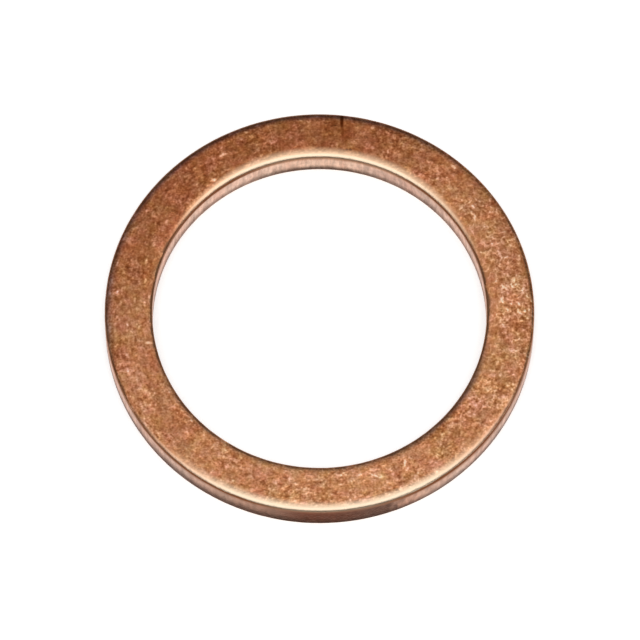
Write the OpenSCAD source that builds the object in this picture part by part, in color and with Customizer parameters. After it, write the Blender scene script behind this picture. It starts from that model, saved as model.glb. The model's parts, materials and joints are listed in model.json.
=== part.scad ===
// Flat sealing ring for an oil drain plug: one piece, blanked from soft copper strip and tumbled.
// The ring lies on its plain face, rolled face up, with its axis along +Z.
// The origin is the centre of the plain face.

/* [Ring] */
// Diameter of the bore, which clears the plug's thread
bore_d = 14; // [13.8:0.05:14.6]
// Outer diameter of the ring
outer_d = 18; // [17.4:0.1:22]
// Thickness between the two sealing faces
thickness = 1.5; // [1:0.1:2.5]

/* [Rolled edges] */
// Width of the band that the blanking tools drew down along each edge of the top face
roll_w = 0.5; // [0.2:0.05:0.6]
// Depth of that band below the top face, where it meets the wall
roll_h = 0.18; // [0.05:0.01:0.3]

/* [Plain edges] */
// Radius that tumbling left along each edge of the bottom face
foot_r = 0.1; // [0.03:0.01:0.15]

/* [Hidden] */

bore_r = bore_d / 2;
band_w = (outer_d - bore_d) / 2;

// Distance that a corner's waste reaches past the strip, so that no skin is left along the cut
spare = 0.2;

// Sides of a full turn, where a curve is drawn as straight lines
$fn = 180;

// Waste outside a quarter-ellipse that rounds the corner at the origin.
// The strip lies towards +X and -Y of that corner, and the ellipse takes w along X and h along Y.
module corner_waste(w, h) {
    difference() {
        translate([-spare, -h])
            square([w + spare, h + spare]);
        translate([w, -h])
            scale([w, h])
                circle(r = 1);
    }
}

// The strip's own section with its four corners rounded, measured from the bore's wall.
// The top corners are drawn down far and flat, and the bottom ones are only broken.
module band_section() {
    difference() {
        square([band_w, thickness]);
        for (side = [0, 1])
            translate([side * band_w, 0])
                mirror([side, 0]) {
                    translate([0, thickness])
                        corner_waste(roll_w, roll_h);
                    mirror([0, 1])
                        corner_waste(foot_r, foot_r);
                }
    }
}

// The whole ring: the section swept once round the axis
module sealing_ring() {
    color("peru")
        rotate_extrude()
            translate([bore_r, 0])
                band_section();
}

sealing_ring();
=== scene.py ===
# A flat copper sealing ring for an oil drain plug, blanked from strip, tumbled and slightly tarnished.
# The ring's skin is one swept section made by Geometry Nodes, and its finish is one copper material.
import json
import math
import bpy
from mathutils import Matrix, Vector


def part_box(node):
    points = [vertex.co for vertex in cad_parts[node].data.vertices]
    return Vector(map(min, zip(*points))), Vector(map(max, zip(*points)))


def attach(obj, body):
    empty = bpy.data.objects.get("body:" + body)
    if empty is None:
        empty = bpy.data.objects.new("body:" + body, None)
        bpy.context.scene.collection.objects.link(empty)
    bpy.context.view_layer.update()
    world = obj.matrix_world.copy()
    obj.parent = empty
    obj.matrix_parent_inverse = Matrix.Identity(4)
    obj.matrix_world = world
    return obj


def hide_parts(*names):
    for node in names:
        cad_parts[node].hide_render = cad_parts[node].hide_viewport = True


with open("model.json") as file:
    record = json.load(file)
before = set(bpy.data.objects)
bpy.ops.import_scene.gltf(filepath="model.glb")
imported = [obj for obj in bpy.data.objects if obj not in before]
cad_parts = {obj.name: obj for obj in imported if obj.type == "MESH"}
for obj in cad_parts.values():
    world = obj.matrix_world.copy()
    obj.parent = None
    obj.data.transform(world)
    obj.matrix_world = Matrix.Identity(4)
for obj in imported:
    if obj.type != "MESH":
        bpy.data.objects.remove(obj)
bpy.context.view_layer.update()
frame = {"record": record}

from types import SimpleNamespace

import bmesh
import bpy
from mathutils import Vector

MM = 0.001

# The ring's sizes, in metres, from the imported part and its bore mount
NODE = "sealing_ring"
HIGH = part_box(NODE)[1]
BORE = next(mount for mount in frame["record"]["mounts"] if mount["name"] == "bore")
BORE_RADIUS = BORE["dims"]["r_mm"] * MM
WALL_LENGTH = BORE["dims"]["length_mm"] * MM
WALL_FOOT = BORE["pos_m"][2] - WALL_LENGTH / 2
WALL_TOP = BORE["pos_m"][2] + WALL_LENGTH / 2
OUTER_RADIUS = HIGH.y
THICKNESS = HIGH.z
ROLL_DEPTH = THICKNESS - WALL_TOP
ROLL_WIDTH = 0.5 * MM

# The share by which the rolled edge's width wavers, and the depth and size of the tumbling dents
ROLL_WAVER = 0.3
DENT_DEPTH = 0.006 * MM
DENT_SIZE = 0.7 * MM
SEED = 7

# Faces of the skin: round the ring, across each sealing face, and down each wall
STEPS_AROUND = 720
STEPS_TOP = 84
STEPS_BOTTOM = 14
STEPS_WALL = 18
WELD_DISTANCE = 0.0001 * MM

# The photograph's frame, and where the ring's outline sits in it
FRAME_PX = 640
OUTLINE_TOP_PX = 114.4
OUTLINE_BOTTOM_PX = 523.6
OUTLINE_MIDDLE_PX = 319.5
CAMERA_LEAN = math.radians(22.0)
CAMERA_DISTANCE = 413 * MM
SENSOR_WIDTH = 36.0

# Directions of the camera's back and top
LEAN_BACK = Vector((0, -math.sin(CAMERA_LEAN), math.cos(CAMERA_LEAN)))
LEAN_UP = Vector((0, math.cos(CAMERA_LEAN), math.sin(CAMERA_LEAN)))


def seen_height(point):
    """How far above the ring's origin a point appears, measured at the origin's distance."""
    return point.dot(LEAN_UP) * CAMERA_DISTANCE / (CAMERA_DISTANCE - point.dot(LEAN_BACK))


FAR_RIM = seen_height(Vector((0, OUTER_RADIUS, WALL_TOP)))
NEAR_FOOT = seen_height(Vector((0, -OUTER_RADIUS, WALL_FOOT / 2)))
METRES_PER_PX = (FAR_RIM - NEAR_FOOT) / (OUTLINE_BOTTOM_PX - OUTLINE_TOP_PX)
FRAME_MIDDLE = FAR_RIM - (FRAME_PX / 2 - OUTLINE_TOP_PX) * METRES_PER_PX

# The light tent's size, the height of its hem, its glow round the skirt and at the crown, and the rise
# (sine of elevation) over which the one turns into the other
TENT_RADIUS = 160 * MM
TENT_HEM = 0.1 * MM
TENT_SKIRT = 0.22
TENT_CROWN = 0.85
TENT_RISE = (0.42, 0.76)

# The front lamp's place and size in millimetres, and how bright it looks to the metal
FRONT_BOX_PLACE = (10, -40, 105)
FRONT_BOX_WIDTH = 272
FRONT_BOX_DEPTH = 84
FRONT_BOX_RADIANCE = 0.60

# The floor's light: a broad, distant key lamp and the world's grey fill
KEY_LIGHT_STRENGTH = 0.3 * math.pi
KEY_LIGHT_SPREAD = math.radians(50)
KEY_LIGHT_TILT = math.radians(20)
STUDIO_FILL = 0.6

# The paper floor: half its width in metres, its colour and its own glow
PAPER_HALF_WIDTH = 3.0
PAPER_COLOUR = (0.88, 0.88, 0.88, 1)
PAPER_GLOW = 0.44
WHITE = (1, 1, 1, 1)

# The copper's colours on its face, as linear red, green and blue, and the limit to how bright they get
FACE_FAR_LEFT = (0.36, 0.1215, 0.0475, 1)
FACE_NEAR_RIGHT = (0.56, 0.240, 0.1145, 1)
BRIGHTEST = (1.0, 0.8, 0.6)

# Painted highlight on the rolled bands that mirror the front lamp: where the bore's and the outer one face
# the front, and where they face aside
LIT_ROLL = (0.83, 0.57, 0.375, 1)
OUTER_ROLL = (0.77, 0.63, 0.46, 1)
SIDE_ROLL = (0.86, 0.50, 0.30, 1)

# Painted highlight on the ridges of those bands: where they face the front, and where the bore's and the
# outer one don't
LIT_RIDGE = (0.87, 0.69, 0.51, 1)
SIDE_RIDGE = (0.92, 0.62, 0.42, 1)
OUTER_RIDGE = (0.74, 0.45, 0.30, 1)

# Painted shade: the dark line along the edges, where their curve mirrors the dark surroundings
EDGE_LINE_SHADE = (0.20, 0.095, 0.05, 1)
SEAM_SHADE = (0.26, 0.145, 0.085, 1)
EDGE_LINE_FILL = (0.19, 0.060, 0.020, 1)

# On the walls
BORE_WALL = (0.77, 0.53, 0.395, 1)
BORE_DARKER = (0.42, 0.25, 0.19, 1)
OUTER_PALE = (0.66, 0.50, 0.405, 1)
OUTER_WARM = (0.54, 0.345, 0.25, 1)
OUTER_BROWN = (0.094, 0.033, 0.019, 1)
OUTER_GREY = (0.094, 0.058, 0.042, 1)

# What the metal mirrors at a grazing angle takes this tint
GRAZING_TINT = (0.85, 0.64, 0.58, 1)

# Shares that turn a colour's patches one way or the other
ROSY = (1.035, 0.935, 0.95)
OLIVE = (0.965, 1.075, 0.98)
AMBER = (1.01, 1.0, 0.88)
PINK = (0.99, 1.0, 1.12)
WALL_ROSY = (1.05, 0.97, 0.95)
WALL_COOL = (0.95, 1.03, 1.07)

# Shares that shade a colour: on rolled edges that are turned away, and at the foot and brow of a wall
HOLLOW_SHADE = (0.42, 0.42, 0.50)
RIM_SHADE = (0.50, 0.57, 0.95)
FOOT_GREY = (0.97, 1.06, 1.14)
BROW_SHADE = (0.56, 0.45, 0.36)
BROW_SHEEN = (1.5, 1.5, 1.45)

# How fast red, green and blue brighten with the texture
LIVELY_POWERS = (1.0, 1.42, 1.92)

# The noises on the face, each by its spots per millimetre, detail, roughness and seed
CLOUD = (0.55, 3.0, 0.6, 3.0)
BUSYNESS = (1.1, 1.0, 0.5, 41.0)
PATCH = (1.6, 2.0, 0.6, 4.0)
WARMTH = (2.2, 1.0, 0.6, 42.0)
RAGGED = (2.4, 3.0, 0.75, 18.0)
MOTTLE = (3.2, 1.0, 0.8, 5.0)
VEIN = (4.4, 0.0, 0.5, 12.0)
COMBED = (6.0, 1.0, 0.7, 15.0)
GRAIN = (7.0, 1.0, 0.7, 9.0)
DUST = (11.0, 0.0, 0.5, 17.0)

# Short scratches, painted bright as glints, run three ways, each by its turn from +X in radians and its
# seed
SCRATCH_WAYS = ((0.4, 31.0), (1.45, 32.0), (2.5, 33.0))
SCRATCHES_PER_MM = 7.0
SCRATCH_STRETCH = 0.45

# Patterns that stretch along the ring are laid out with its bearings on a smaller circle. These are the
# circle's radius in millimetres, and how many specks a millimetre there has room for
COMBED_RADIUS = 3.4
SPECKS_PER_MM = 3.6

# How far each layer of the texture brightens the face, and how high it stands in millimetres
MOTTLE_CONTRAST = 0.98
GRAIN_CONTRAST = 1.25
COMBED_CONTRAST = 0.95
DUST_CONTRAST = 1.0
CURL_CONTRAST = 0.34
SPECK_CONTRAST = 0.6
MOTTLE_HEIGHT = 0.020
GRAIN_HEIGHT = 0.030
COMBED_HEIGHT = 0.020
SCRATCH_HEIGHT = 0.004

# The metal's roughness, how far the mottle changes it, how far the rolled edges are polished, and the
# share of the texture's height that they have lost
ROUGHNESS = 0.35
MOTTLE_ROUGHNESS = 0.14
ROLL_POLISH = 0.05
ROLL_SMOOTHING = 0.8

# The walls' streaks and blotches, as noises like those on the face. They are stretched upright: bearings
# lie on a circle of the first radius, and heights in millimetres are multiplied by the second number
STREAK_PLACES = (40.0, 1.2)
STREAK = (1.0, 3.0, 0.6, 21.0)
BROAD_STREAK = (0.25, 2.0, 0.5, 22.0)
BLOTCH_PLACES = (11.0, 1.5)
BLOTCH = (1.3, 2.0, 0.6, 23.0)

# The radius between the bore's half of the band and the outer half, and how far each way the change
# reaches, in millimetres
BAND_MIDDLE = 8.0
BAND_TURN = 0.1

# Each mark on the top face: bearing from +X in degrees, distance from the axis, length and width in mm,
# the turn of its length from +X in degrees, and how far it brightens (plus) or darkens (minus).
# First come nicks and scratches, painted bright as glints, then dark pits and stains, then broad and faint
# patches
NICK_GLINTS = (
    (0.4, 8.75, 0.16, 0.13, 0, 0.60), (0.6, 8.60, 0.30, 0.09, 95, 0.40),
    (2.3, 8.30, 0.30, 0.09, -45, 0.50), (3.3, 8.00, 0.34, 0.09, -5, 0.50),
    (8.0, 8.26, 0.34, 0.09, 45, 0.60), (68.2, 7.75, 0.22, 0.10, 90, 0.60),
    (73.2, 7.71, 0.16, 0.14, 0, 0.50), (75.0, 8.62, 0.15, 0.14, 0, 0.70),
    (93.0, 8.60, 0.18, 0.10, 0, 0.50), (97.2, 8.33, 0.20, 0.10, 20, 0.50),
    (104.2, 7.91, 0.14, 0.12, 0, 0.60), (109.3, 7.47, 0.22, 0.14, 10, 0.70),
    (110.9, 8.68, 0.14, 0.11, 0, 0.60), (127.0, 7.40, 0.28, 0.16, 30, 0.80),
    (147.9, 7.57, 0.20, 0.13, 40, 0.60), (156.8, 7.56, 0.18, 0.13, 60, 0.60),
    (163.2, 7.60, 0.20, 0.11, 80, 0.60), (172.8, 8.26, 0.16, 0.13, 0, 0.50),
    (174.7, 8.58, 0.34, 0.10, 30, 0.60), (175.1, 7.14, 0.24, 0.12, 100, 0.45),
    (177.7, 8.32, 0.22, 0.10, 85, 0.35), (179.5, 7.64, 0.20, 0.13, 0, 0.45),
    (184.7, 8.06, 0.22, 0.10, 85, 0.35), (191.5, 7.29, 0.34, 0.12, 0, 0.65),
    (237.4, 7.40, 0.70, 0.06, 0, 0.25), (244.8, 8.44, 0.20, 0.10, 30, 0.50),
    (254.8, 7.00, 0.20, 0.08, -20, 0.50), (265.8, 8.01, 0.42, 0.10, 0, 0.45),
    (276.5, 7.86, 0.26, 0.08, 5, 0.35), (276.6, 7.46, 0.26, 0.08, 10, 0.35),
    (276.7, 7.64, 0.24, 0.08, -8, 0.35), (287.2, 7.75, 0.60, 0.07, -24, 0.45),
    (297.6, 7.68, 0.28, 0.13, 80, 0.50), (353.0, 8.30, 0.28, 0.09, -38, 0.50),
    (356.9, 7.86, 0.14, 0.10, 90, 0.50), (358.0, 7.98, 0.14, 0.08, 45, 0.40))
STAINS = (
    (0.3, 8.38, 0.18, 0.10, 80, -0.50), (79.9, 7.42, 0.12, 0.11, 0, -1.10),
    (81.0, 7.40, 0.10, 0.09, 0, -0.90), (81.8, 8.15, 0.80, 0.32, 88, -0.28),
    (83.2, 8.22, 0.66, 0.09, 88, -0.45), (83.8, 8.70, 0.62, 0.13, 88, -1.30),
    (86.7, 8.40, 0.70, 0.55, 90, -0.28), (355.9, 7.87, 0.14, 0.11, 0, -0.60),
    (357.6, 8.47, 0.26, 0.11, 10, -0.60))
BROAD_PATCHES = (
    (2.0, 8.10, 2.20, 1.90, 92, 0.17), (24.0, 7.95, 3.40, 1.70, 114, 0.15),
    (44.0, 7.95, 2.40, 1.70, 135, 0.15), (54.0, 7.95, 2.60, 1.70, 143, 0.10),
    (106.0, 8.00, 2.20, 1.40, 16, -0.07), (187.0, 7.95, 3.00, 1.70, 97, 0.11),
    (204.0, 8.40, 2.60, 1.20, 114, 0.16), (285.0, 8.00, 1.80, 1.50, 15, 0.12),
    (315.0, 8.00, 2.20, 1.70, 45, -0.07))
MARKS = NICK_GLINTS + STAINS + BROAD_PATCHES


class Reading:
    """A value that a socket carries. Python's operators on it add the Math nodes that do the same."""

    def __init__(self, net, socket):
        self.net = net
        self.socket = socket

    def math(self, operation, *values):
        return self.net.math(operation, self, *values)

    def __add__(self, other):
        return self.math("ADD", other)

    __radd__ = __add__

    def __sub__(self, other):
        return self.math("SUBTRACT", other)

    def __rsub__(self, other):
        return self.net.math("SUBTRACT", other, self)

    def __mul__(self, other):
        return self.math("MULTIPLY", other)

    __rmul__ = __mul__

    def __truediv__(self, other):
        return self.math("DIVIDE", other)

    def __rtruediv__(self, other):
        return self.net.math("DIVIDE", other, self)


class Net:
    """One node tree. add() makes any node, from its type, its settings and its sockets' values or links."""

    def __init__(self, tree):
        self.tree = tree

    def add(self, kind, settings=None, sockets=None, output=0):
        node = self.tree.nodes.new(kind)
        for name, value in (settings or {}).items():
            setattr(node, name, value)
        for name, value in (sockets or {}).items():
            self.feed(node.inputs[name], value)
        return Reading(self, node.outputs[output])

    def feed(self, socket, value):
        if isinstance(value, Reading):
            self.tree.links.new(value.socket, socket)
        else:
            socket.default_value = value

    def math(self, operation, *values):
        return self.add("ShaderNodeMath", {"operation": operation}, dict(enumerate(values)))

    def vector(self, operation, *values):
        return self.add("ShaderNodeVectorMath", {"operation": operation}, dict(enumerate(values)))

    def scaled(self, vector, factor):
        return self.add("ShaderNodeVectorMath", {"operation": "SCALE"}, {"Vector": vector, "Scale": factor})

    def point(self, x, y, z):
        return self.add("ShaderNodeCombineXYZ", None, {"X": x, "Y": y, "Z": z})

    def parts(self, vector):
        split = self.add("ShaderNodeSeparateXYZ", None, {"Vector": vector}).socket.node
        return [Reading(self, socket) for socket in split.outputs]

    def ease(self, value, start, end):
        """0 before start, 1 after end, and smooth between them. start may be the larger one."""
        return self.add("ShaderNodeMapRange", {"interpolation_type": "SMOOTHSTEP", "clamp": False},
                        {"Value": value, "From Min": start, "From Max": end})

    def ramp(self, value, start, end):
        """0 at start, 1 at end, straight between them and level beyond."""
        return self.add("ShaderNodeMapRange", None, {"Value": value, "From Min": start, "From Max": end})

    def tinted(self, colour, shares):
        """A colour with its red, green and blue each multiplied by a share."""
        return self.vector("MULTIPLY", colour, shares)

    def noise(self, place, per_unit, detail, roughness, seed):
        return self.add("ShaderNodeTexNoise", {"noise_dimensions": "4D"},
                        {"Vector": place, "W": seed, "Scale": per_unit, "Detail": detail,
                         "Roughness": roughness, "Distortion": 0.0})

    def cells(self, place, per_unit):
        """Distance from the middle of the nearest of many scattered cells."""
        return self.add("ShaderNodeTexVoronoi", {"voronoi_dimensions": "3D", "feature": "F1"},
                        {"Vector": place, "Scale": per_unit, "Randomness": 1.0})

    def blend(self, factor, first, second):
        """A colour part of the way from first to second."""
        mix = self.add("ShaderNodeMix", {"data_type": "RGBA"}).socket.node
        self.feed(mix.inputs["Factor"], factor)
        self.feed(mix.inputs[6], first)
        self.feed(mix.inputs[7], second)
        return Reading(self, mix.outputs[2])


def corner_drop(inset, width, depth):
    """How far a quarter-ellipse lies below the face at that distance in from the wall."""
    left = (1.0 - inset / width).math("MAXIMUM", 0.0)
    return depth * (1.0 - (1.0 - left * left).math("MAXIMUM", 0.0).math("SQRT"))


def spread(share):
    """Minus one to one, with the steps close together at both ends."""
    return 0.0 - (share * math.pi).math("COSINE")


def dented(net, size, skin):
    """The skin with shallow tumbling dents pressed in: broad swells and small scattered bowls."""
    place = net.add("GeometryNodeInputPosition")
    swell = net.noise(place, 1.0 / size["Dent Size"], 2.0, 0.5, size["Seed"])
    bowl = net.ease(net.cells(place, 1.6 / size["Dent Size"]), 0.45, 0.1)
    depth = size["Dent Depth"] * (0.5 * net.ease(swell, 0.7, 0.3) + 0.5 * bowl)
    inward = net.scaled(net.add("GeometryNodeInputNormal"), 0.0 - depth)
    return net.add("GeometryNodeSetPosition", None, {"Geometry": skin, "Offset": inward})


def ring_tree():
    """Sweeps the ring's section round its axis, as four joined strips of faces with shallow dents."""
    tree = bpy.data.node_groups.new("ring_from_section", "GeometryNodeTree")
    tree.is_modifier = True
    net = Net(tree)
    for name, kind in (("Bore Radius", "Float"), ("Outer Radius", "Float"), ("Thickness", "Float"),
                       ("Roll Width", "Float"), ("Roll Depth", "Float"), ("Foot Radius", "Float"),
                       ("Roll Waver", "Float"), ("Dent Depth", "Float"), ("Dent Size", "Float"),
                       ("Steps Around", "Int"), ("Seed", "Float"), ("Copper", "Material")):
        tree.interface.new_socket(name=name, in_out="INPUT", socket_type="NodeSocket" + kind)
    tree.interface.new_socket(name="Geometry", in_out="OUTPUT", socket_type="NodeSocketGeometry")
    given = tree.nodes.new("NodeGroupInput")
    size = {socket.name: Reading(net, socket) for socket in given.outputs if socket.name}
    bore, outer, thickness = size["Bore Radius"], size["Outer Radius"], size["Thickness"]
    half_band = (outer - bore) / 2
    middle = (outer + bore) / 2
    wall_top = thickness - size["Roll Depth"]
    wall_span = wall_top - size["Foot Radius"]

    def strip(steps, section):
        """Faces round the axis. section gives their radius and height, from how far across they are."""
        sheet = net.add("GeometryNodeMeshGrid", None,
                        {"Size X": 1.0, "Size Y": 1.0, "Vertices X": steps + 1,
                         "Vertices Y": size["Steps Around"] + 1})
        across, around, _ = net.parts(net.add("GeometryNodeInputPosition"))
        turn = (around + 0.5) * (2 * math.pi)
        cosine = turn.math("COSINE")
        sine = turn.math("SINE")
        radius, height = section(across + 0.5, net.point(cosine, sine, 0.0))
        place = net.point(radius * cosine, radius * sine, height)
        return net.add("GeometryNodeSetPosition", None, {"Geometry": sheet, "Position": place})

    def top(share, direction):
        waver = net.noise(direction, 4.0, 3.0, 0.5, size["Seed"]) - 0.5
        width = size["Roll Width"] * (1.0 + waver * size["Roll Waver"])
        radius = middle + half_band * spread(share)
        inset = (radius - bore).math("MINIMUM", outer - radius)
        return radius, thickness - corner_drop(inset, width, size["Roll Depth"])

    def bottom(share, direction):
        radius = middle - half_band * spread(share)
        inset = (radius - bore).math("MINIMUM", outer - radius)
        return radius, corner_drop(inset, size["Foot Radius"], size["Foot Radius"])

    def outer_wall(share, direction):
        return outer, wall_top - wall_span * share

    def bore_wall(share, direction):
        return bore, size["Foot Radius"] + wall_span * share

    joined = tree.nodes.new("GeometryNodeJoinGeometry")
    for steps, section in ((STEPS_TOP, top), (STEPS_WALL, outer_wall),
                           (STEPS_BOTTOM, bottom), (STEPS_WALL, bore_wall)):
        tree.links.new(strip(steps, section).socket, joined.inputs[0])
    closed = net.add("GeometryNodeMergeByDistance", None,
                     {"Geometry": Reading(net, joined.outputs[0]), "Distance": WELD_DISTANCE})
    smooth = net.add("GeometryNodeSetShadeSmooth", None,
                     {"Geometry": dented(net, size, closed), "Shade Smooth": True})
    real = net.add("GeometryNodeRealizeInstances", None, {"Geometry": smooth})
    coated = net.add("GeometryNodeSetMaterial", None, {"Geometry": real, "Material": size["Copper"]})
    tree.links.new(coated.socket, tree.nodes.new("NodeGroupOutput").inputs[0])
    return tree


def sealing_ring_skin(copper):
    """The ring's visible surface, as a plain mesh."""
    carrier = bpy.data.objects.new("ring_builder", bpy.data.meshes.new("ring_builder"))
    bpy.context.scene.collection.objects.link(carrier)
    modifier = carrier.modifiers.new("ring_from_section", "NODES")
    modifier.node_group = ring_tree()
    sizes = {"Bore Radius": BORE_RADIUS, "Outer Radius": OUTER_RADIUS, "Thickness": THICKNESS,
             "Roll Width": ROLL_WIDTH, "Roll Depth": ROLL_DEPTH, "Foot Radius": WALL_FOOT,
             "Roll Waver": ROLL_WAVER, "Dent Depth": DENT_DEPTH, "Dent Size": DENT_SIZE,
             "Steps Around": STEPS_AROUND, "Seed": float(SEED), "Copper": copper}
    for item in modifier.node_group.interface.items_tree:
        if item.in_out == "INPUT":
            modifier[item.identifier] = sizes[item.name]
    bpy.context.view_layer.update()
    evaluated = carrier.evaluated_get(bpy.context.evaluated_depsgraph_get())
    mesh = bpy.data.meshes.new_from_object(evaluated)
    mesh.name = "tumbled_ring"
    carrier.modifiers.remove(modifier)
    bpy.data.objects.remove(carrier)
    ring = bpy.data.objects.new("tumbled_ring", mesh)
    bpy.context.scene.collection.objects.link(ring)
    return ring


def new_material(name):
    """An empty material, its net and its output socket."""
    material = bpy.data.materials.new(name)
    material.use_nodes = True
    material.node_tree.nodes.clear()
    net = Net(material.node_tree)
    output = material.node_tree.nodes.new("ShaderNodeOutputMaterial")
    return material, net, output.inputs["Surface"]


def ring_places(net):
    """Where a point of the ring lies: in millimetres, in from the nearer wall, and round the axis.

    outward is 1 on the outer half of the band and inward is 1 on the bore's half. frontward is 1 where
    the nearer wall faces the front, and facing is that with a little more at the right of the ring.
    """
    place = net.scaled(net.add("ShaderNodeTexCoord", None, None, "Object"), 1 / MM)
    x, y, z = net.parts(place)
    radius = (x * x + y * y).math("SQRT")
    inset = (radius - BORE_RADIUS / MM).math("MINIMUM", OUTER_RADIUS / MM - radius)
    outward = net.ease(radius, BAND_MIDDLE - BAND_TURN, BAND_MIDDLE + BAND_TURN)
    northing = y / radius
    easting = x / radius
    frontward = northing * (1.0 - 2.0 * outward)
    unrolled = net.point(easting * COMBED_RADIUS, northing * COMBED_RADIUS, radius)
    return SimpleNamespace(
        place=place, x=x, y=y, z=z, radius=radius, inset=inset, outward=outward, inward=1.0 - outward,
        northing=northing, easting=easting, frontward=frontward, facing=frontward + 0.07 * easting,
        unrolled=unrolled)


def marks(net, at):
    """How far the nicks, stains and patches brighten, each fading out just past its own edge."""
    total = 0.0
    for bearing, distance, length, width, turn, strength in MARKS:
        around = math.radians(bearing)
        centre = (distance * math.cos(around), distance * math.sin(around), THICKNESS / MM)
        local = net.add("ShaderNodeMapping", {"vector_type": "TEXTURE"},
                        {"Vector": at.place, "Location": centre, "Rotation": (0, 0, math.radians(turn)),
                         "Scale": (length / 2, width / 2, 1.0)})
        away = net.add("ShaderNodeVectorMath", {"operation": "LENGTH"}, {0: local}, "Value")
        total = net.ease(away, 1.6, 0.4) * strength + total
    return total


def dashes(net, at, turn, seed):
    """Short scratches that run one way, painted as glints: bright where the noise is at its peak."""
    along = at.x * math.cos(turn) + at.y * math.sin(turn)
    aside = at.y * math.cos(turn) - at.x * math.sin(turn)
    stretched = net.point(along * SCRATCH_STRETCH, aside, at.z)
    return net.ease(net.noise(stretched, SCRATCHES_PER_MM, 0.0, 0.5, seed), 0.60, 0.76)


def scratched(net, at):
    """The scratches of all their ways together."""
    total = 0.0
    for turn, seed in SCRATCH_WAYS:
        total = dashes(net, at, turn, seed) + total
    return total.math("MINIMUM", 1.0)


def curls(net, at, mottle):
    """Curled hairlines, with darker metal between them."""
    vein = (net.noise(at.place, *VEIN) - 0.5).math("ABSOLUTE")
    hairline = net.ease(vein, 0.075, 0.015) * net.ease(mottle, 0.38, 0.54)
    return hairline - 0.35 * net.ease(vein, 0.08, 0.2)


def specks(net, at):
    """Small bright specks, painted glints, with more of them at the far left and beside the bore on the
    left.
    """
    cell = net.cells(at.unrolled, SPECKS_PER_MM)
    chance = net.parts(Reading(net, cell.socket.node.outputs["Color"]))[0]
    far_left = net.ease(0.7 * at.easting - 0.5 * at.northing, -0.2, -0.8)
    fringe = net.ease(at.radius, 7.4, 7.2) * net.ease(at.easting, -0.45, -0.75)
    return net.ease(cell, 0.30, 0.12) * net.ease(chance + 0.12 * far_left + 0.10 * fringe, 0.95, 0.98)


def tumbled_texture(net, at):
    """The face's small texture: how far each spot brightens, its height in millimetres, and the mottle."""
    mottle = net.noise(at.place, *MOTTLE)
    grain = net.noise(at.place, *GRAIN)
    combed = net.noise(at.unrolled, *COMBED)
    dust = net.noise(at.place, *DUST)
    scratches = scratched(net, at)
    veined = net.ease(at.easting + 0.15 * at.northing, 0.78, 0.97)
    calm = veined * net.ease(at.radius, 7.75, 7.3)
    coarse = net.ease(at.x - 0.4 * at.y, -8.0, 9.0)
    busy = 0.80 + 0.4 * net.ease(net.noise(at.place, *BUSYNESS), 0.38, 0.62)
    busy = busy * (1.0 - 0.45 * calm)

    lively = (mottle - 0.5) * (MOTTLE_CONTRAST - 0.55 * veined)
    lively = lively + (grain - 0.5) * GRAIN_CONTRAST
    lively = lively + (combed - 0.5) * COMBED_CONTRAST
    lively = lively + (dust - 0.5) * DUST_CONTRAST
    lively = (lively + scratches * (0.08 + 0.12 * coarse)) * busy
    lively = lively + curls(net, at, mottle) * veined * CURL_CONTRAST
    lively = lively + specks(net, at) * SPECK_CONTRAST
    lively = lively + marks(net, at) * (0.7 + 0.6 * grain)

    height = MOTTLE_HEIGHT * (mottle - 0.5) + GRAIN_HEIGHT * (grain - 0.5)
    height = height + COMBED_HEIGHT * (combed - 0.5) + SCRATCH_HEIGHT * scratches
    return lively, height, mottle


def face_metal(net, at, lively):
    """Darker red-brown at the far left to lighter gold at the near right, in patches, with the texture."""
    cloud = net.noise(at.place, *CLOUD)
    toward_near_right = net.ease(0.3 * at.x - at.y + 5.0 * (cloud - 0.5), -11.0, 11.0)
    tint = net.blend(toward_near_right, FACE_FAR_LEFT, FACE_NEAR_RIGHT)
    patch = net.ramp(net.noise(at.place, *PATCH), 0.35, 0.65)
    tint = net.blend(patch, net.tinted(tint, ROSY), net.tinted(tint, OLIVE))
    warmth = net.ramp(net.noise(at.place, *WARMTH), 0.35, 0.65)
    tint = net.blend(warmth, net.tinted(tint, AMBER), net.tinted(tint, PINK))
    tint = net.tinted(tint, net.point(*[(lively * power).math("EXPONENT") for power in LIVELY_POWERS]))
    tint = net.vector("MINIMUM", tint, BRIGHTEST)
    beside_bore = net.ease(at.radius, 7.8, 7.3)
    return net.scaled(tint, 1.0 + 0.12 * beside_bore)


def lit_bands(net, at, rolled, tint):
    """The rolled edges that face the lamp, with a painted highlight: pale right across, and palest along
    their ridge.
    """
    creamy = net.ease(at.facing, 0.6, 0.95)
    band_highlight = net.ease(at.facing - 0.1 * at.outward, 0.45, 0.82)
    roll_tint = net.blend(creamy, SIDE_ROLL, net.blend(at.outward, LIT_ROLL, OUTER_ROLL))
    # Painted highlight: the rolled band turns pale where it faces the lamp
    tint = net.blend(rolled * (0.10 - 0.10 * at.outward + 0.85 * band_highlight), tint, roll_tint)
    ridge = net.ease(at.inset, 0.19, 0.11) * net.ease(at.facing, 0.35, 0.75)
    ridge_tint = net.blend(creamy, net.blend(at.outward, SIDE_RIDGE, OUTER_RIDGE), LIT_RIDGE)
    return net.blend(ridge * 0.8, tint, ridge_tint)


def dim_edges(net, at, tint):
    """The rolled edges that face away from the lamp: the bore's near side, and the far and left rim."""
    turned_away = net.ease(at.frontward, -0.1, -0.5) * (0.25 + 0.75 * net.ease(at.easting, 0.1, 0.7))
    hollow = at.inward * net.ease(at.inset, 0.38, 0.14) * turned_away
    tint = net.blend(hollow, tint, net.tinted(tint, HOLLOW_SHADE))
    left = 0.75 * net.ease(at.easting, -0.6, -0.9) * net.ease(at.northing, -0.4, 0.0)
    far = net.ease(at.northing - 0.35 * at.easting, 0.2, 1.0)
    rim = at.outward * net.ease(at.inset, 0.40, 0.12) * far.math("MAXIMUM", left)
    return net.blend(rim, tint, net.tinted(tint, RIM_SHADE))


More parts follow.
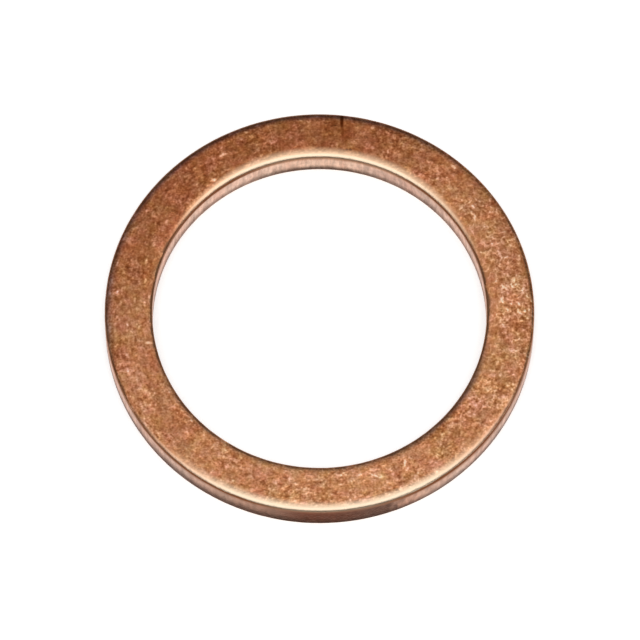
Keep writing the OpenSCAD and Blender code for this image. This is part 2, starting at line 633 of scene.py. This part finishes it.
def face_colour(net, at, lively, rolled):
    """The sealing face: its metal, with a painted highlight or painted shade on the rolled edges by the way
    that they face.
    """
    tint = face_metal(net, at, lively)
    tint = lit_bands(net, at, rolled, tint)
    return dim_edges(net, at, tint)


def wall_metal(net, at, bearing, browned):
    """The sheared metal: pale, darker at the right of the bore, and warm, then brown, in front."""
    darker_patch = net.ease((at.easting - 0.5).math("ABSOLUTE"), 0.34, 0.16) * net.ease(at.z, 1.2, 0.95)
    bore_tint = net.blend(darker_patch * 0.45, BORE_WALL, BORE_DARKER)
    brown = net.blend(net.ease(bearing, 0.08, 0.28), OUTER_BROWN, OUTER_GREY)
    outer_tint = net.blend(net.ease(at.northing, -0.72, -0.93), OUTER_PALE, OUTER_WARM)
    outer_tint = net.blend(browned, outer_tint, brown)
    return net.blend(at.outward, bore_tint, outer_tint)


def wall_streaks(net, at, flank, streak, tint):
    """A wall's tint with rosy and cool stretches, upright streaks and blotches."""
    stretch = net.ramp(net.noise(flank, *BROAD_STREAK), 0.3, 0.7)
    tint = net.blend(stretch, net.tinted(tint, WALL_ROSY), net.tinted(tint, WALL_COOL))
    around, upright = BLOTCH_PLACES
    blotch = net.noise(net.point(at.easting * around, at.northing * around, at.z * upright), *BLOTCH)
    return net.scaled(tint, 0.76 + 0.48 * net.ease(streak, 0.3, 0.7) + 0.5 * (blotch - 0.5))


def wall_foot(net, at, streak, tint):
    """A wall's tint with painted shade from the floor's contact shadow: darker and greyer at its foot, and
    higher up at the left of the outer wall.
    """
    aside = at.easting.math("ABSOLUTE")
    leftward = at.outward * net.ease(at.easting, 0.1, -0.35) * net.ease(at.easting, -0.95, -0.62)
    low = 0.05 + 0.20 * leftward + 0.16 * at.inward
    high = 0.75 + 0.25 * leftward + at.inward * (0.14 * net.ease(aside, 0.5, 0.8) - 0.09)
    lifted = 0.12 * at.outward * net.ease(at.easting, 0.78, 0.92)
    clear = net.ease(at.z + 0.12 * (streak - 0.5) + lifted, low, high)
    least = 0.12 + 0.24 * at.inward * net.ease(aside, 0.12, 0.45)
    tint = net.scaled(tint, (least + (1.0 - least) * clear) * (1.0 - 0.12 * leftward))
    greyed = net.ease(at.z, 0.55, 0.2) * at.outward + at.inward * net.ease(aside, 0.12, 0.45)
    return net.blend(greyed, tint, net.tinted(tint, FOOT_GREY))


def wall_brow(net, at, browned, tint):
    """A wall's tint, darker under the rolled edge as painted shade, but lighter there where the front is
    brown.
    """
    rightward = 0.08 * net.ease(at.easting, 0.1, 0.6) + 0.14 * net.ease(at.easting, 0.45, 0.75)
    aside = net.ease(at.easting.math("ABSOLUTE"), 0.2, 0.6)
    brow = net.ease(at.z + rightward * at.outward + 0.05 * at.inward * aside, 1.02, 1.30)
    brow_tint = net.blend(browned * at.outward, net.tinted(tint, BROW_SHADE), net.tinted(tint, BROW_SHEEN))
    return net.blend(brow, tint, brow_tint)


def wall_colour(net, at):
    """The sheared walls: pale copper with upright streaks, a painted dark foot and brow, and brown in
    front.
    """
    around, upright = STREAK_PLACES
    flank = net.point(at.easting * around, at.northing * around, at.z * upright)
    streak = net.noise(flank, *STREAK)
    bearing = at.easting + 0.12 * (streak - 0.5)
    browned = net.ease(at.northing, -0.7, -0.85) * net.ease(bearing, -0.45, -0.04)
    browned = browned * net.ease(bearing, 0.44, 0.30)
    tint = wall_metal(net, at, bearing, browned)
    tint = wall_streaks(net, at, flank, streak, tint)
    tint = wall_foot(net, at, streak, tint)
    return wall_brow(net, at, browned, tint)


def edge_lines(net, at):
    """The dark line along both upper edges, which is painted shade, its tint, and where a matt dark fill
    covers it.

    It is broad and ragged where the edge is dim, thin where the edge is lit, and faint at the very front.
    """
    ragged = net.noise(at.unrolled, *RAGGED)
    lit = net.ease(at.facing, 0.26, 0.56)
    aside = (at.easting - 0.06).math("ABSOLUTE")
    bare = at.outward * net.ease(aside, 0.30, 0.12)
    outer_sunk = at.outward * net.ease(at.easting, 0.0, 0.4)
    bore_sunk = at.inward * (net.ease(at.easting, 0.0, -0.5) + 0.5 * net.ease(at.easting, 0.2, 0.6))
    sunk = (outer_sunk + bore_sunk) * lit
    reach = 0.100 - (0.066 - 0.03 * bare) * lit - 0.010 * sunk + (0.50 - 0.44 * lit) * (ragged - 0.5)
    line = net.ease(at.inset / reach.math("MAXIMUM", 0.015), 1.35, 0.65)
    line = line * net.ease(at.z + 0.12 * sunk, 1.22, 1.31)
    line = line * (0.85 - 0.30 * at.outward * net.ease(aside, 0.7, 1.0) - 0.25 * bare * lit)
    line_fill = line * lit * net.ease(aside - 0.15 * at.inward, 0.15, 0.45)
    return line, net.blend(lit, EDGE_LINE_SHADE, SEAM_SHADE), line_fill


def copper_material():
    """Tumbled copper: the textured face, the walls below its edges, and the painted dark line between."""
    material, net, surface = new_material("tumbled_copper")
    at = ring_places(net)
    lively, height, mottle = tumbled_texture(net, at)
    narrow = at.inward * net.ease(at.facing, 0.95, 0.65)
    rolled = net.ease(at.inset, 0.50 - 0.02 * at.outward - 0.17 * narrow, 0.12) * net.ease(at.z, 0.75, 1.2)
    on_wall = net.ease(at.inset, 0.022, 0.006)
    tint = net.blend(on_wall, face_colour(net, at, lively, rolled), wall_colour(net, at))
    line, line_tint, line_fill = edge_lines(net, at)
    tint = net.blend(line, tint, line_tint)
    height = height * (1.0 - ROLL_SMOOTHING * rolled)
    bumped = net.add("ShaderNodeBump", None, {"Strength": 1.0, "Distance": MM, "Height": height})
    roughness = ROUGHNESS + MOTTLE_ROUGHNESS * (mottle - 0.5) - ROLL_POLISH * rolled
    metal = net.add("ShaderNodeBsdfPrincipled", None,
                    {"Base Color": tint, "Metallic": 1.0, "Roughness": roughness, "Normal": bumped,
                     "Specular Tint": GRAZING_TINT})
    # Painted shade: a matt dark fill in the lit part of the edge line
    line_fill_bsdf = net.add("ShaderNodeBsdfDiffuse", None, {"Color": EDGE_LINE_FILL})
    net.feed(surface, net.add("ShaderNodeMixShader", None, {0: line_fill, 1: metal, 2: line_fill_bsdf}))
    return material


def paper_material():
    """The pale floor: matt paper, self-lit a little to read as white, which still takes a shadow."""
    material, net, surface = new_material("pale_paper")
    matt = net.add("ShaderNodeBsdfDiffuse", None, {"Color": PAPER_COLOUR})
    glow = net.add("ShaderNodeEmission", None, {"Color": WHITE, "Strength": PAPER_GLOW})
    net.feed(surface, net.add("ShaderNodeAddShader", None, {0: matt, 1: glow}))
    return material


def tent_material():
    """A photographer's light tent as the metal mirrors it: dim round the skirt and pale overhead."""
    material, net, surface = new_material("light_tent")
    place = net.add("ShaderNodeTexCoord", None, None, "Object")
    rise = net.parts(net.vector("NORMALIZE", place))[2]
    glow = TENT_SKIRT + (TENT_CROWN - TENT_SKIRT) * net.ease(rise, *TENT_RISE)
    light = net.add("ShaderNodeEmission", None, {"Color": net.scaled(WHITE[:3], glow), "Strength": 1.0})
    net.feed(surface, light)
    return material


def floor(paper):
    half = PAPER_HALF_WIDTH
    corners = [(-half, -half, 0), (half, -half, 0), (half, half, 0), (-half, half, 0)]
    mesh = bpy.data.meshes.new("paper_floor")
    mesh.from_pydata(corners, [], [(0, 1, 2, 3)])
    mesh.materials.append(paper)
    sheet = bpy.data.objects.new("paper_floor", mesh)
    bpy.context.scene.collection.objects.link(sheet)


def light_tent(cloth):
    """A dome over the ring, out of the camera's sight, which the metal mirrors."""
    mesh = bpy.data.meshes.new("light_tent")
    shell = bmesh.new()
    bmesh.ops.create_uvsphere(shell, u_segments=64, v_segments=32, radius=TENT_RADIUS)
    below = [vertex for vertex in shell.verts if vertex.co.z < TENT_HEM]
    bmesh.ops.delete(shell, geom=below, context="VERTS")
    shell.to_mesh(mesh)
    shell.free()
    mesh.materials.append(cloth)
    dome = bpy.data.objects.new("light_tent", mesh)
    bpy.context.scene.collection.objects.link(dome)
    dome.visible_camera = False
    dome.visible_diffuse = False
    dome.visible_shadow = False


def front_softbox():
    """The lamp that the lit rolled edges mirror, aimed at the ring. It lights nothing that is matt."""
    lamp = bpy.data.lights.new("front_softbox", "AREA")
    lamp.shape = "RECTANGLE"
    lamp.size = FRONT_BOX_WIDTH * MM
    lamp.size_y = FRONT_BOX_DEPTH * MM
    lamp.energy = FRONT_BOX_RADIANCE * math.pi * lamp.size * lamp.size_y
    box = bpy.data.objects.new("front_softbox", lamp)
    bpy.context.scene.collection.objects.link(box)
    box.location = Vector(FRONT_BOX_PLACE) * MM
    box.rotation_euler = Vector(FRONT_BOX_PLACE).to_track_quat("Z", "Y").to_euler()
    box.visible_diffuse = False


def key_light():
    """A broad, distant lamp that gives the floor most of its light and the ring a soft shadow."""
    lamp = bpy.data.lights.new("key_light", "SUN")
    lamp.energy = KEY_LIGHT_STRENGTH
    lamp.angle = KEY_LIGHT_SPREAD
    key = bpy.data.objects.new("key_light", lamp)
    bpy.context.scene.collection.objects.link(key)
    key.rotation_euler = (KEY_LIGHT_TILT, 0, 0)
    key.visible_glossy = False


def studio_world():
    """White where the camera or the metal sees it, and a soft grey fill for everything else."""
    world = bpy.data.worlds.new("studio")
    bpy.context.scene.world = world
    world.use_nodes = True
    world.node_tree.nodes.clear()
    net = Net(world.node_tree)
    rays = net.add("ShaderNodeLightPath").socket.node
    seen = [Reading(net, rays.outputs[name])
            for name in ("Is Camera Ray", "Is Glossy Ray", "Is Transmission Ray")]
    white = (seen[0] + seen[1] + seen[2]).math("MINIMUM", 1.0)
    strength = STUDIO_FILL + (1.0 - STUDIO_FILL) * white
    sky = net.add("ShaderNodeBackground", None, {"Color": WHITE, "Strength": strength})
    net.feed(world.node_tree.nodes.new("ShaderNodeOutputWorld").inputs["Surface"], sky)


def camera():
    """Looks along +Y from a steep height, framed so that the ring's outline fills the photograph's rows."""
    lens = bpy.data.cameras.new("camera")
    lens.sensor_width = SENSOR_WIDTH
    lens.clip_start = 0.01
    lens.clip_end = 20.0
    lens.lens = SENSOR_WIDTH * CAMERA_DISTANCE / (FRAME_PX * METRES_PER_PX)
    eye = bpy.data.objects.new("camera", lens)
    bpy.context.scene.collection.objects.link(eye)
    bpy.context.scene.camera = eye
    aim = Vector(((FRAME_PX / 2 - OUTLINE_MIDDLE_PX) * METRES_PER_PX, 0, 0)) + LEAN_UP * FRAME_MIDDLE
    eye.location = aim + LEAN_BACK * CAMERA_DISTANCE
    eye.rotation_euler = LEAN_BACK.to_track_quat("Z", "Y").to_euler()


def dress_ring():
    ring = sealing_ring_skin(copper_material())
    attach(ring, "root")
    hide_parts(NODE)


camera()
dress_ring()
floor(paper_material())
light_tent(tent_material())
studio_world()
front_softbox()
key_light()
bpy.context.scene.view_settings.view_transform = "Standard"
